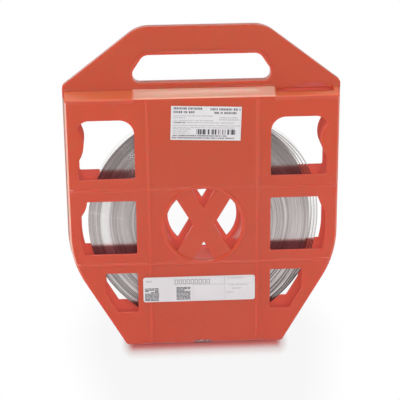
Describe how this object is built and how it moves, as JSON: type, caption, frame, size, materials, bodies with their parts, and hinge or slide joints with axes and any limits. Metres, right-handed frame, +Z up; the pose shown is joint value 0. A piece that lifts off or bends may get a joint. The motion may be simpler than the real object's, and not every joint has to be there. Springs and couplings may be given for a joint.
{
  "type": "roll of stainless steel strapping",
  "caption": "Wide roll of flat stainless steel strap held in a red plastic two-part carrier with a grip on top, a hollow hub and windows that show the roll",
  "frame": {"origin": "centre of the bounding box, on the floor plane under the base", "axes": "+Z up to the grip; -Y out of the front panel with the labels; +X to the viewer's right as the front is faced"},
  "size_m": [0.255, 0.0336, 0.31],
  "materials": {
    "case_plastic": "glossy moulded polypropylene, red-orange",
    "strap_steel": "bright rolled stainless strap, turns showing on edge",
    "label_paper": "smooth white label stock",
    "clear_tape": "clear adhesive tape"
  },
  "bodies": {
    "root": {"front_shell": "case_plastic", "rear_shell": "case_plastic", "strap_coil": "strap_steel", "upper_label": "label_paper", "lower_label": "label_paper", "tape": "clear_tape"}
  },
  "joints": []
}
